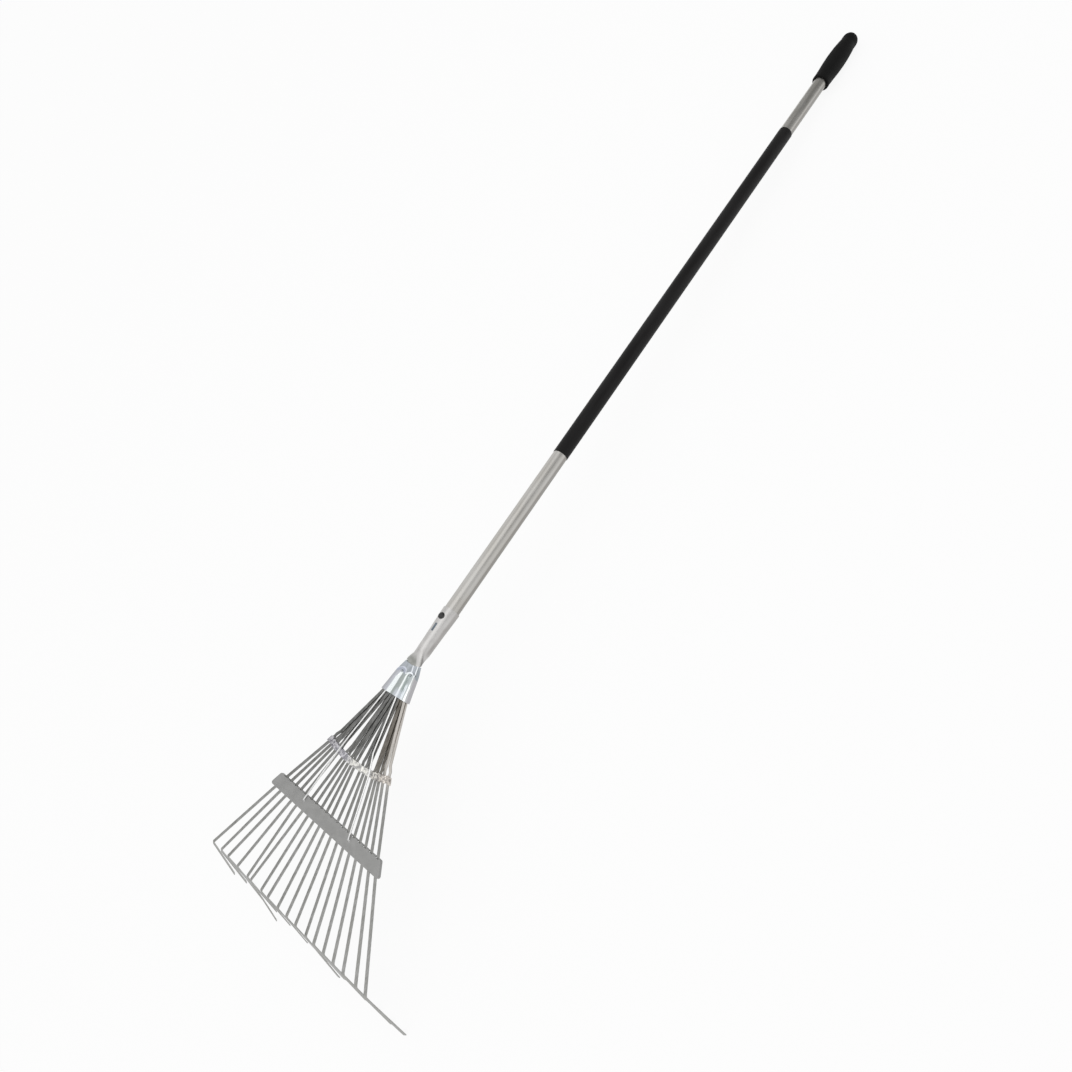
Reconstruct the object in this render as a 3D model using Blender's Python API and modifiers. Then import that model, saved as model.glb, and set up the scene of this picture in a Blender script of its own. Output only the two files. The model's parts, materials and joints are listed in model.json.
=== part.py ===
"""A lawn rake: a fan of flat spring tines on a long tube with a sleeve and a soft end grip.

The rake is drawn in its own frame. The origin is on the handle's axis at the mouth of the socket, +Y runs
up the handle, +X runs across the fan and +Z is the side that the tines bend away from. Last, the whole rake
is laid on the ground, on its tine ends and the end of its grip. Lengths are in metres and angles in degrees.
"""

import math

import bmesh
import bpy
from mathutils import Vector

# The clearance between pieces that touch.
GAP = 0.0003

# The handle, from the socket's mouth upwards.
TUBE_RADIUS = 0.012
TUBE_WALL = 0.0012
TUBE_DEPTH_IN_SOCKET = 0.060
LOWER_BARE_LENGTH = 0.298
SLEEVE_LENGTH = 0.773
SLEEVE_WALL = 0.00035
UPPER_BARE_LENGTH = 0.144
GRIP_LENGTH = 0.142
GRIP_END_WALL = 0.012
GRIP_START = LOWER_BARE_LENGTH + SLEEVE_LENGTH + UPPER_BARE_LENGTH

# The grip's outside: how far each place is from its rim, as a share of its length, and how thick it is
# there.
GRIP_SHAPE = (
    (0.000, 0.0034),
    (0.010, 0.0041),
    (0.035, 0.0041),
    (0.060, 0.0038),
    (0.190, 0.0045),
    (0.330, 0.0055),
    (0.470, 0.0058),
    (0.610, 0.0053),
    (0.750, 0.0038),
    (0.800, 0.0030),
    (0.830, 0.0024),
    (0.860, 0.0029),
    (0.895, 0.0029),
)

# The socket: how far down it each place is, and how much wider than the tube it is there.
SOCKET_WALL = 0.0010
SOCKET_TAPER = (
    (0.000, 0.0013),
    (0.003, 0.0013),
    (0.023, 0.00055),
    (0.035, -0.00005),
    (0.058, -0.0007),
    (0.070, -0.0009),
)
BORE_DEPTH = 0.066
BEND_DEPTH = 0.085
TONGUE_END = 0.038
TONGUE_THICKNESS = 0.0029

# Where the socket turns into the flat tongue, which lies above the handle's axis: how far past the bend
# each place is, how much of the widening, the flattening and the rise is done there, and how square it
# is. The tongue is narrower from where it goes under the clamp.
HEAD_RISE = 0.0040
TONGUE_RINGS = (
    (-0.012, 0.00, 0.08, 0.00, 2.1),
    (-0.006, 0.12, 0.35, 0.18, 2.3),
    (-0.001, 0.50, 0.66, 0.62, 2.7),
    (0.0030, 0.76, 0.90, 0.93, 3.5),
    (0.0066, 0.84, 1.00, 1.00, 6),
    (0.0079, 0.36, 1.00, 1.00, 8),
    (0.0150, 0.69, 1.00, 1.00, 8),
)
TONGUE_TOP_HALF_WIDTH = 0.0160
TONGUE_END_SHARE = 0.86

# The black fastener: its place, its head and dome, the flatter end behind, and the bar its seats are
# shaped to.
SOCKET_RIVET_DEPTH = 0.015
SOCKET_RIVET_HEAD = 0.0052
SOCKET_RIVET_DOME = 0.0026
SOCKET_RIVET_BACK = 0.0041
SOCKET_RIVET_BACK_RISE = 0.0012
SOCKET_RIVET_SINK = 0.0020
SOCKET_RIVET_SHANK = 0.0023
SOCKET_RIVET_REACH = 0.030
SEAT_REACH = 0.012
SEAT_CORE_GAP = 0.0001
GROOVE_START = 0.028
GROOVE_END = 0.040
GROOVE_RADIUS = 0.0016
GROOVE_CUT = 0.0005

# The head's middle line from the socket's bend: the length of each straight stretch and how far down it
# points. The stretches end at the clamp's mouth, near the spacer band, at the cross bar's lower edge and
# at the elbows.
STRETCHES = (
    (0.0596, 7.79),
    (0.0983, 7.41),
    (0.1084, 11.43),
    (0.1172, 13.7),
)
CLAMP_MOUTH = STRETCHES[0][0]
BAND_LINE = CLAMP_MOUTH + STRETCHES[1][0]
BAR_LINE = BAND_LINE + STRETCHES[2][0]
ELBOW_LINE = BAR_LINE + STRETCHES[3][0]

# The tines.
TINE_COUNT = 18
TINE_WIDTH = 0.0051
TINE_THICKNESS = 0.0013
TINE_EDGE_ROUNDING = 0.0004
TINE_LAYER = (TINE_THICKNESS + GAP) / 2
TINE_DEPTH_IN_CLAMP = 0.0065
ELBOW_HALF_WIDTH = 0.1843
ELBOW_BEND = 57.6
ELBOW_RADIUS = 0.0045
MIDDLE_TIP_LENGTH = 0.1025

# Where the tines stop running in two layers, as distances up from the middle of the band: up to the first
# place they are gathered in groups, at the second they are apart and at the third they are one layer.
GATHERED_ABOVE_BAND = 0.0165
OPENED_ABOVE_BAND = 0.0095
MERGED_ABOVE_BAND = 0.0056

# How far each tine, by number from the left, is bent sideways from an even fan: above the band, at the
# band, at the cross bar and at its elbow.
SIDEWAYS = {
    1: (0.0048, 0.0030, -0.0002, -0.006),
    2: (0.0023, 0.0020, -0.0007, -0.004),
    3: (0.0012, 0.0004, -0.0006, -0.006),
    4: (-0.0014, -0.0002, 0.0, 0.0),
    5: (-0.0025, -0.0020, -0.0008, 0.006),
    6: (0.0029, 0.0019, 0.0008, -0.006),
    7: (0.0015, 0.0004, 0.0004, 0.0),
    8: (-0.0012, -0.0008, 0.0006, -0.004),
    9: (-0.0020, -0.0026, 0.0, 0.0),
    10: (-0.0047, -0.0044, -0.0008, 0.0),
    11: (0.0008, -0.0002, -0.0010, 0.0),
    12: (-0.0021, -0.0008, -0.0007, 0.003),
    13: (-0.0032, -0.0028, -0.0015, 0.0),
    14: (0.0009, 0.0010, -0.0020, 0.0),
    15: (-0.0004, -0.0009, -0.0019, 0.0),
    16: (-0.0030, -0.0028, -0.0026, 0.0),
    17: (-0.0024, -0.0032, -0.0028, 0.005),
    18: (-0.0040, -0.0013, -0.0030, 0.003),
}

# How each tine's end is bent from the common direction, in degrees: steeper down, and turned to the
# right.
BENT_TIPS = {
    1: (-4.7, 1.0),
    2: (-1.1, 7.0),
    3: (0.0, -3.0),
    4: (-1.2, -1.0),
    5: (0.9, 10.0),
    6: (-3.5, 13.0),
    7: (1.0, 5.0),
    8: (1.9, -6.0),
    9: (1.1, 1.0),
    10: (2.0, -3.0),
    11: (2.0, 4.0),
    12: (-0.9, 10.0),
    13: (2.0, -4.0),
    14: (2.0, 3.0),
    15: (2.0, -2.0),
    16: (2.0, 4.0),
    17: (2.1, -1.0),
    18: (1.5, 8.0),
}

# Half the fan's width at the places where it changes, from the packing of the tines outwards. The band
# and the bar lie at these shares of the fan's opening.
PACKING = 1.005
MOUTH_OPENING = 1.055
BAND_SHARE = 0.2715
BAR_SHARE = 0.630
PACKED_HALF_WIDTH = PACKING * (TINE_WIDTH + GAP) * (TINE_COUNT - 1) / 4
MOUTH_HALF_WIDTH = MOUTH_OPENING * PACKED_HALF_WIDTH
BAND_HALF_WIDTH = MOUTH_HALF_WIDTH + BAND_SHARE * (ELBOW_HALF_WIDTH - MOUTH_HALF_WIDTH)
BAR_HALF_WIDTH = MOUTH_HALF_WIDTH + BAR_SHARE * (ELBOW_HALF_WIDTH - MOUTH_HALF_WIDTH)

# The clamp's two plates, one on each side of two layers of tines.
CLAMP_TOP = 0.0085
CLAMP_TOP_DIP = 0.0022
CLAMP_PLATE = 0.0010
CLAMP_FACE = 2 * TINE_LAYER + GAP / 2
CLAMP_SIDE_ROOM = 0.0035
CLAMP_MOUTH_HALF_WIDTH = MOUTH_HALF_WIDTH + CLAMP_SIDE_ROOM
CLAMP_ROWS = 14
CLAMP_EDGE_FOLD = 0.0009
CLAMP_EDGE_SHARE = 0.03
CLAMP_RIVET_ALONG = 0.0245
CLAMP_RIVET_SPREAD = 0.47
CLAMP_RIVET_HEAD = 0.0020
CLAMP_RIVET_RISE = 0.0013
CLAMP_RIVET_SHANK = 0.0013
CLAMP_RIVET_HOLE = 0.0016
CLAMP_RIVET_REACH = 0.010

# The clamp's sides: how far down the head each place is, and its half width as a share of that at the
# mouth.
CLAMP_SIDES = (
    (CLAMP_TOP, 0.484),
    (0.0200, 0.656),
    (0.0300, 0.755),
    (0.0450, 0.873),
    (CLAMP_MOUTH, 1.0),
)

# The part of the front plate that is pressed out: its height, where its two arches start and how high
# they are, and the rows of the plate's grid above it.
RAISED = 0.0007
RAISED_START = 0.0185
RAISED_ARCH = 0.0045
RAISED_RAMP = 0.0012
TOP_ROWS = 3

# The ribs pressed into the clamp: the share of the half width where each runs, its height and where it
# starts.
RIB_HALF_WIDTH = 0.15
RIBS = (
    (-0.65, 0.0024, 0.029),
    (0.21, 0.0024, 0.022),
    (0.68, 0.0012, 0.034),
)
RIB_RAMP = 0.006

# The spacer band, crimped round every tine.
BAND_WIDTH = 0.0090
BAND_PLATE = 0.0008
BAND_FROM_MOUTH = 0.1070
BAND_MIDDLE = CLAMP_MOUTH + BAND_FROM_MOUTH
BAND_SAG = 0.009
BAND_END = 0.0010

# The cross bar: a shallow pressed channel with a slot in both long sides for every tine. It sits a little
# to the left, and a little lower at its right end.
BAR_FROM_BAND = 0.0833
BAR_WIDTH = 0.0210
BAR_TILT = 0.022
BAR_SHIFT = -0.0024
BAR_TOP = BAND_LINE + BAR_FROM_BAND
BAR_BOTTOM = BAR_TOP + BAR_WIDTH
BAR_PLATE = 0.0010
BAR_FACE = TINE_THICKNESS / 2 + 2 * GAP + BAR_PLATE
BAR_DEPTH = 0.0026
BAR_OVERHANG = 0.0085
BAR_CORNER = 0.003
BAR_EDGE_ROUNDING = 0.0005
SLOT_CLEARANCE = 0.0003
SLOT_REACH = 0.001
NOTCH_LENGTH = 0.0013
NOTCH_CLEARANCE = 0.0004

# The wire stays, which run over the tines to a hole in the cross bar.
STAY_RADIUS = 0.0012
STAY_HOLE_RADIUS = 0.0018
STAY_START = 0.036
STAY_HOOK_ALONG = BAR_BOTTOM - 0.0125
STAY_HOOK_SPREAD = 8 / 17
STAY_BEND_RADIUS = 0.0022

# The left stay is -1 and the right one is 1: the rib that each comes from, where it is bent above the
# band and where it crosses the band.
STAY_RIBS = {-1: RIBS[0], 1: RIBS[1]}
STAY_KINK_ALONG = 0.1400
STAY_KINK_X = {-1: -0.0345, 1: 0.0215}
STAY_BAND_X = {-1: -0.0380, 1: 0.0345}

ROUND_STEPS = 36
SMALL_STEPS = 16
BORE_STEPS = 20


def between(start, end, share):
    return start + (end - start) * share


def step_value(table, place):
    """The value at a place, from a table of (place, value) with straight lines between its rows."""
    for (first, low), (last, high) in zip(table, table[1:]):
        if place <= last:
            return between(low, high, (place - first) / (last - first))
    return table[-1][1]


def stretch_at(along):
    """Where the stretch that holds this place starts, its first point and how far down it points."""
    start = 0.0
    point = Vector((0.0, -BEND_DEPTH, HEAD_RISE))
    for length, pitch in STRETCHES:
        pitch = math.radians(pitch)
        if along <= start + length + 1e-9:
            break
        point += length * Vector((0.0, -math.cos(pitch), -math.sin(pitch)))
        start += length
    return start, point, pitch


def on_head(x, along, lift):
    """A point of the head: across the fan, down its middle line from the bend, and out from its surface."""
    start, point, pitch = stretch_at(along)
    down = Vector((0.0, -math.cos(pitch), -math.sin(pitch)))
    out = Vector((0.0, -math.sin(pitch), math.cos(pitch)))
    return point + Vector((x, 0.0, 0.0)) + (along - start) * down + lift * out


def fan_half_width(along):
    """Half the width of the fan, between the middles of its outer tines."""
    table = (
        (CLAMP_MOUTH - TINE_DEPTH_IN_CLAMP, PACKED_HALF_WIDTH),
        (CLAMP_MOUTH, MOUTH_HALF_WIDTH),
        (BAND_LINE, BAND_HALF_WIDTH),
        (BAR_LINE, BAR_HALF_WIDTH),
        (ELBOW_LINE, ELBOW_HALF_WIDTH),
    )
    return step_value(table, along)


def spread_of(number):
    """Where a tine lies across the fan, from -1 at the left to 1 at the right."""
    return (2 * number - TINE_COUNT - 1) / (TINE_COUNT - 1)


def rounded_corner(corner, before, after, radius, steps):
    """Points of the arc that rounds a corner between two directions of travel."""
    turn = before.angle(after)
    reach = radius * math.tan(turn / 2)
    inward = (after - before * math.cos(turn)) / math.sin(turn)
    start = corner - before * reach
    points = []
    for step in range(steps + 1):
        angle = turn * step / steps
        points.append(start + radius * (math.sin(angle) * before + (1 - math.cos(angle)) * inward))
    return points


def plain_material(name, colour, metallic, roughness):
    material = bpy.data.materials.new(name)
    material.use_nodes = True
    shader = material.node_tree.nodes["Principled BSDF"]
    shader.inputs["Base Color"].default_value = (*colour, 1.0)
    shader.inputs["Metallic"].default_value = metallic
    shader.inputs["Roughness"].default_value = roughness
    material.diffuse_color = (*colour, 1.0)
    return material


def soft_black():
    return plain_material("soft_black", (0.018, 0.018, 0.018), 0.0, 0.75)


def sleeve_black():
    return plain_material("sleeve_black", (0.030, 0.029, 0.029), 0.0, 0.5)


def tube_metal():
    return plain_material("tube_metal", (0.47, 0.46, 0.44), 1.0, 0.35)


def socket_metal():
    return plain_material("socket_metal", (0.50, 0.50, 0.50), 1.0, 0.4)


def rivet_black():
    return plain_material("rivet_black", (0.03, 0.03, 0.03), 0.0, 0.4)


def zinc_plate():
    return plain_material("zinc_plate", (0.66, 0.70, 0.73), 1.0, 0.25)


def rivet_zinc():
    return plain_material("rivet_zinc", (0.60, 0.62, 0.64), 1.0, 0.35)


def spring_steel():
    return plain_material("spring_steel", (0.36, 0.36, 0.35), 1.0, 0.35)


def bar_grey():
    return plain_material("bar_grey", (0.29, 0.29, 0.28), 0.3, 0.6)


def bright_wire():
    return plain_material("bright_wire", (0.75, 0.75, 0.74), 1.0, 0.2)


def placed(name, data, material, collection, parent):
    """An object with its material, in a collection and joined to the rake's empty."""
    data.materials.append(material)
    thing = bpy.data.objects.new(name, data)
    collection.objects.link(thing)
    thing.parent = parent
    return thing


def mesh_of(name, points, edges, faces):
    mesh = bpy.data.meshes.new(name)
    mesh.from_pydata([tuple(point) for point in points], edges, faces)
    return mesh


def outward(mesh):
    """Turns the faces of a closed mesh outwards."""
    shape = bmesh.new()
    shape.from_mesh(mesh)
    bmesh.ops.recalc_face_normals(shape, faces=shape.faces[:])
    shape.to_mesh(mesh)
    shape.free()
    return mesh


def profile_mesh(name, profile, closed):
    """A line of (radius, height) points that a Screw modifier turns into a round body."""
    points = [(radius, 0.0, height) for radius, height in profile]
    edges = [(index, index + 1) for index in range(len(points) - 1)]
    if closed:
        edges.append((len(points) - 1, 0))
    return mesh_of(name, points, edges, [])


def turned(thing, steps):
    turn = thing.modifiers.new("turn", "SCREW")
    turn.steps = steps
    turn.render_steps = steps
    turn.use_merge_vertices = True
    turn.merge_threshold = 0.00001
    return thing


def cut_with(thing, cutter):
    cut = thing.modifiers.new("cut_" + cutter.name, "BOOLEAN")
    cut.operation = "DIFFERENCE"
    cut.solver = "EXACT"
    cut.object = cutter


def cutter_object(name, mesh, cutters, parent):
    thing = bpy.data.objects.new(name, mesh)
    cutters.objects.link(thing)
    thing.parent = parent
    thing.hide_render = True
    thing.display_type = "WIRE"
    return thing


def stacked_rings(name, rings, cap_ends):
    """A closed mesh through rings of points, with a flat face over the first ring and the last."""
    count = len(rings[0])
    points = [point for ring in rings for point in ring]
    faces = []
    for row in range(len(rings) - 1):
        for index in range(count):
            after = (index + 1) % count
            low = row * count
            high = low + count
            faces.append((low + index, low + after, high + after, high + index))
    if cap_ends:
        faces.append(tuple(range(count)))
        last = (len(rings) - 1) * count
        faces.append(tuple(range(last, last + count)))
    return outward(mesh_of(name, points, [], faces))


def prism(name, outline, low, high):
    """A flat plate on the head, from its outline as (x, along) points and its lower and upper face."""
    rings = []
    for lift in (low, high):
        rings.append([on_head(x, along, lift) for x, along in outline])
    return stacked_rings(name, rings, True)


def handle_tube(collection, parent):
    """The tube, open at both ends, with its lower end drawn in along the socket's taper."""
    top = GRIP_START + GRIP_LENGTH - GRIP_END_WALL - GAP
    inset = SOCKET_WALL + GAP
    outside = [(TUBE_RADIUS, top)]
    for depth, extra in SOCKET_TAPER[1:]:
        if depth < TUBE_DEPTH_IN_SOCKET:
            outside.append((TUBE_RADIUS + extra - inset, -depth))
    end_radius = TUBE_RADIUS + step_value(SOCKET_TAPER, TUBE_DEPTH_IN_SOCKET) - inset
    outside.append((end_radius, -TUBE_DEPTH_IN_SOCKET))
    inside = [(radius - TUBE_WALL, height) for radius, height in reversed(outside)]
    mesh = profile_mesh("handle_tube", outside + inside, True)
    thing = placed("handle_tube", mesh, tube_metal(), collection, parent)
    thing.rotation_euler.x = math.radians(-90)
    return turned(thing, ROUND_STEPS)


def handle_sleeve(collection, parent):
    """The thin sleeve round the middle of the tube."""
    inner = TUBE_RADIUS + GAP
    outer = inner + SLEEVE_WALL
    low = LOWER_BARE_LENGTH
    high = LOWER_BARE_LENGTH + SLEEVE_LENGTH
    edge = SLEEVE_WALL / 2
    profile = (
        (inner, high),
        (outer - edge, high),
        (outer, high - edge),
        (outer, low + edge),
        (outer - edge, low),
        (inner, low),
    )
    mesh = profile_mesh("handle_sleeve", profile, True)
    thing = placed("handle_sleeve", mesh, sleeve_black(), collection, parent)
    thing.rotation_euler.x = math.radians(-90)
    return turned(thing, ROUND_STEPS)


def grip_profile():
    """The grip's outside from its rounded end down to its rim."""
    last_place, last_wall = GRIP_SHAPE[-1]
    knob_radius = TUBE_RADIUS + last_wall
    knob_start = GRIP_START + last_place * GRIP_LENGTH
    knob_length = GRIP_START + GRIP_LENGTH - knob_start
    rows = 6
    points = [(0.0, knob_start + knob_length)]
    for row in range(1, rows):
        angle = math.radians(90) * (1 - row / rows)
        points.append((knob_radius * math.cos(angle), knob_start + knob_length * math.sin(angle)))
    for place, wall in reversed(GRIP_SHAPE):
        points.append((TUBE_RADIUS + wall, GRIP_START + place * GRIP_LENGTH))
    return points


def end_grip(collection, parent):
    """The soft grip: a rounded end over a blind bore for the tube."""
    bore = TUBE_RADIUS + GAP
    bore_end = GRIP_START + GRIP_LENGTH - GRIP_END_WALL
    profile = grip_profile() + [(bore, GRIP_START), (bore, bore_end), (0.0, bore_end)]
    mesh = profile_mesh("end_grip", profile, False)
    thing = placed("end_grip", mesh, soft_black(), collection, parent)
    thing.rotation_euler.x = math.radians(-90)
    return turned(thing, ROUND_STEPS)


def socket_ring(depth, half_width, half_height, squareness, rise=0.0):
    """A ring across the socket after a share of the rise: round at squareness 2, nearly square at 8."""
    points = []
    for step in range(ROUND_STEPS):
        angle = 2 * math.pi * step / ROUND_STEPS
        across = math.copysign(abs(math.cos(angle)) ** (2 / squareness), math.cos(angle))
        up = math.copysign(abs(math.sin(angle)) ** (2 / squareness), math.sin(angle))
        if depth <= BEND_DEPTH:
            points.append(Vector((half_width * across, -depth, half_height * up + rise * HEAD_RISE)))
        else:
            lift = half_height * up + (rise - 1.0) * HEAD_RISE
            points.append(on_head(half_width * across, depth - BEND_DEPTH, lift))
    return points


def socket_rings():
    """Rings up the inside of the blind bore, over the mouth and down the outside to the tongue's end."""
    rings = []
    bore = TUBE_RADIUS + step_value(SOCKET_TAPER, BORE_DEPTH) - SOCKET_WALL
    rings.append(socket_ring(BORE_DEPTH, bore, bore, 2))
    for depth, extra in reversed(SOCKET_TAPER[:-1]):
        radius = TUBE_RADIUS + extra - SOCKET_WALL
        rings.append(socket_ring(depth, radius, radius, 2))
    for depth, extra in SOCKET_TAPER:
        radius = TUBE_RADIUS + extra
        rings.append(socket_ring(depth, radius, radius, 2))
    neck = TUBE_RADIUS + SOCKET_TAPER[-1][1]
    thin = TONGUE_THICKNESS / 2
    for past_bend, widening, flattening, rise, squareness in TONGUE_RINGS:
        half_width = between(neck, TONGUE_TOP_HALF_WIDTH, widening)
        half_height = between(neck, thin, flattening)
        rings.append(socket_ring(BEND_DEPTH + past_bend, half_width, half_height, squareness, rise))
    end_half_width = TONGUE_END_SHARE * clamp_half_width(TONGUE_END)
    rings.append(socket_ring(BEND_DEPTH + TONGUE_END, end_half_width, thin, TONGUE_RINGS[-1][-1], 1.0))
    return rings


def round_cutter(name, location, pitch, radius, half_length, cutters, parent):
    """A round bar to cut a hole with, upright on a face that points this far down."""
    profile = ((0.0, half_length), (radius, half_length), (radius, -half_length), (0.0, -half_length))
    thing = cutter_object(name, profile_mesh(name, profile, False), cutters, parent)
    thing.location = location
    thing.rotation_euler.x = pitch
    return turned(thing, SMALL_STEPS)


def clamp_rivet_places():
    pitch = math.radians(STRETCHES[0][1])
    x = CLAMP_RIVET_SPREAD * clamp_half_width(CLAMP_RIVET_ALONG)
    left = on_head(-x, CLAMP_RIVET_ALONG, 0.0)
    right = on_head(x, CLAMP_RIVET_ALONG, 0.0)
    return (("left", left, pitch), ("right", right, pitch))


def clamp_rivet_cutters(cutters, parent):
    found = []
    for side, location, pitch in clamp_rivet_places():
        name = "clamp_rivet_hole_" + side
        reach = CLAMP_RIVET_REACH
        found.append(round_cutter(name, location, pitch, CLAMP_RIVET_HOLE, reach, cutters, parent))
    return found


def socket_groove(cutters, parent):
    """A bar with rounded ends that presses a shallow groove into the socket below its rivet."""
    rise = TUBE_RADIUS + GROOVE_RADIUS - GROOVE_CUT
    start = Vector((0.0, -GROOVE_START, rise + step_value(SOCKET_TAPER, GROOVE_START)))
    end = Vector((0.0, -GROOVE_END, rise + step_value(SOCKET_TAPER, GROOVE_END)))
    half = (end - start).length / 2 - GROOVE_RADIUS
    profile = []
    for step in range(7):
        angle = math.radians(90 - 30 * step)
        shift = half if step <= 3 else -half
        profile.append((GROOVE_RADIUS * math.cos(angle), GROOVE_RADIUS * math.sin(angle) + shift))
        if step == 3:
            profile.append((GROOVE_RADIUS, -half))
    name = "socket_groove"
    thing = cutter_object(name, profile_mesh(name, profile, False), cutters, parent)
    thing.location = (start + end) / 2
    thing.rotation_euler.x = math.atan2(end.z - start.z, end.y - start.y) - math.radians(90)
    return turned(thing, SMALL_STEPS)


def socket(collection, cutters, parent, rivet_holes):
    """The pressed socket and its flat tongue."""
    mesh = stacked_rings("socket", socket_rings(), True)
    thing = placed("socket", mesh, socket_metal(), collection, parent)
    for hole in rivet_holes:
        cut_with(thing, hole)
    cut_with(thing, socket_groove(cutters, parent))
    return thing


def socket_rivet_hole(cutters, parent):
    location = (0.0, -SOCKET_RIVET_DEPTH, 0.0)
    radius = SOCKET_RIVET_SHANK + GAP
    return round_cutter("socket_rivet_hole", location, 0.0, radius, SOCKET_RIVET_REACH, cutters, parent)


def socket_rivet(collection, cutters, parent):
    """The domed fastener through the socket and the tube, its heads shaped to the round socket."""
    seat = TUBE_RADIUS + step_value(SOCKET_TAPER, SOCKET_RIVET_DEPTH - SOCKET_RIVET_HEAD) + GAP
    inner = seat - SOCKET_RIVET_SINK
    back = -seat - SOCKET_RIVET_BACK_RISE
    profile = []
    for share, rise in ((0.0, 1.0), (0.45, 0.88), (0.80, 0.55), (1.0, 0.10)):
        profile.append((share * SOCKET_RIVET_HEAD, seat + rise * SOCKET_RIVET_DOME))
    profile.extend((
        (SOCKET_RIVET_HEAD, inner),
        (SOCKET_RIVET_SHANK, inner),
        (SOCKET_RIVET_SHANK, -inner),
        (SOCKET_RIVET_BACK, -inner),
        (SOCKET_RIVET_BACK, back + SOCKET_RIVET_BACK_RISE / 2),
        (SOCKET_RIVET_BACK - SOCKET_RIVET_BACK_RISE, back),
        (0.0, back),
    ))
    mesh = profile_mesh("socket_rivet", profile, False)
    thing = placed("socket_rivet", mesh, rivet_black(), collection, parent)
    thing.location.y = -SOCKET_RIVET_DEPTH
    turned(thing, BORE_STEPS)
    body_profile = ((0.0, SEAT_REACH), (seat, SEAT_REACH), (seat, -SEAT_REACH), (0.0, -SEAT_REACH))
    body = cutter_object("rivet_seat", profile_mesh("rivet_seat", body_profile, False), cutters, parent)
    body.location.y = -SOCKET_RIVET_DEPTH
    body.rotation_euler.x = math.radians(-90)
    turned(body, 2 * ROUND_STEPS)
    location = (0.0, -SOCKET_RIVET_DEPTH, 0.0)
    core_radius = SOCKET_RIVET_SHANK + SEAT_CORE_GAP
    core = round_cutter("rivet_core", location, 0.0, core_radius, SOCKET_RIVET_REACH, cutters, parent)
    cut_with(body, core)
    cut_with(thing, body)
    return thing


def clamp_half_width(along):
    """Half the clamp's width inside its folded sides."""
    return CLAMP_MOUTH_HALF_WIDTH * step_value(CLAMP_SIDES, along)


def clamp_top_at(spread):
    """Where the clamp starts, a little lower in its middle."""
    return CLAMP_TOP + CLAMP_TOP_DIP * (1.0 - spread * spread)


def clamp_row_at(spread, row):
    """How far down the head a row of the front plate's grid is, as the raised part starts on two arches."""
    start = RAISED_START + RAISED_ARCH * (2 * abs(spread) - 1) ** 2
    if row <= TOP_ROWS:
        return between(clamp_top_at(spread), start, row / TOP_ROWS)
    share = (row - TOP_ROWS - 1) / (CLAMP_ROWS - TOP_ROWS - 1)
    return between(start + RAISED_RAMP, CLAMP_MOUTH, share)


def rib_height(spread, along):
    """How far a rib presses the front plate out here."""
    height = 0.0
    for middle, rise, start in RIBS:
        side = (1.0 - abs(spread - middle) / RIB_HALF_WIDTH) / 0.5
        end = (along - start) / RIB_RAMP
        height = max(height, rise * min(1.0, max(0.0, side)) * min(1.0, max(0.0, end)))
    return height


def clamp_columns():
    """Where the front plate's grid has its lines, across from -1 to 1."""
    edge = 1.0 - CLAMP_EDGE_SHARE
    columns = [-1.0, -edge, -CLAMP_RIVET_SPREAD, CLAMP_RIVET_SPREAD, edge, 1.0]
    for middle, _, _ in RIBS:
        for share in (-1.0, -0.75, -0.5, 0.0, 0.5, 0.75, 1.0):
            columns.append(middle + share * RIB_HALF_WIDTH)
    return sorted(columns)


def clamp_front(collection, parent, rivet_holes):
    """The front plate: raised, with three ribs that run to its mouth and sides folded round the back."""
    columns = clamp_columns()
    side_end = -CLAMP_FACE - CLAMP_PLATE - GAP
    points = []
    for row in range(CLAMP_ROWS + 1):
        line = []
        raised = RAISED if row > TOP_ROWS else 0.0
        for spread in columns:
            along = clamp_row_at(spread, row)
            lift = CLAMP_FACE + raised + rib_height(spread, along)
            if abs(spread) == 1.0:
                lift = CLAMP_FACE - CLAMP_EDGE_FOLD
            line.append((spread * clamp_half_width(along), along, lift))
        first = line[0]
        last = line[-1]
        line.insert(0, (first[0], first[1], side_end))
        line.append((last[0], last[1], side_end))
        points.extend(on_head(*place) for place in line)
    width = len(columns) + 2
    faces = []
    for row in range(CLAMP_ROWS):
        for column in range(width - 1):
            corner = row * width + column
            faces.append((corner, corner + width, corner + width + 1, corner + 1))
    mesh = mesh_of("clamp_front", points, [], faces)
    thing = placed("clamp_front", mesh, zinc_plate(), collection, parent)
    thicken = thing.modifiers.new("thicken", "SOLIDIFY")
    thicken.thickness = CLAMP_PLATE
    thicken.offset = 1.0
    thicken.use_even_offset = True
    for hole in rivet_holes:
        cut_with(thing, hole)
    return thing


def clamp_back(collection, parent, rivet_holes):
    """The flat back plate, inside the front plate's folded sides."""
    outline = []
    steps = 8
    for step in range(steps + 1):
        spread = 2 * step / steps - 1
        along = clamp_top_at(spread)
        outline.append((spread * (clamp_half_width(along) - GAP), along))
    for along, _ in CLAMP_SIDES[1:]:
        outline.append((clamp_half_width(along) - GAP, along))
    for along, _ in reversed(CLAMP_SIDES[1:]):
        outline.append((GAP - clamp_half_width(along), along))
    mesh = prism("clamp_back", outline, -CLAMP_FACE - CLAMP_PLATE, -CLAMP_FACE)
    thing = placed("clamp_back", mesh, zinc_plate(), collection, parent)
    for hole in rivet_holes:
        cut_with(thing, hole)
    return thing


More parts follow.
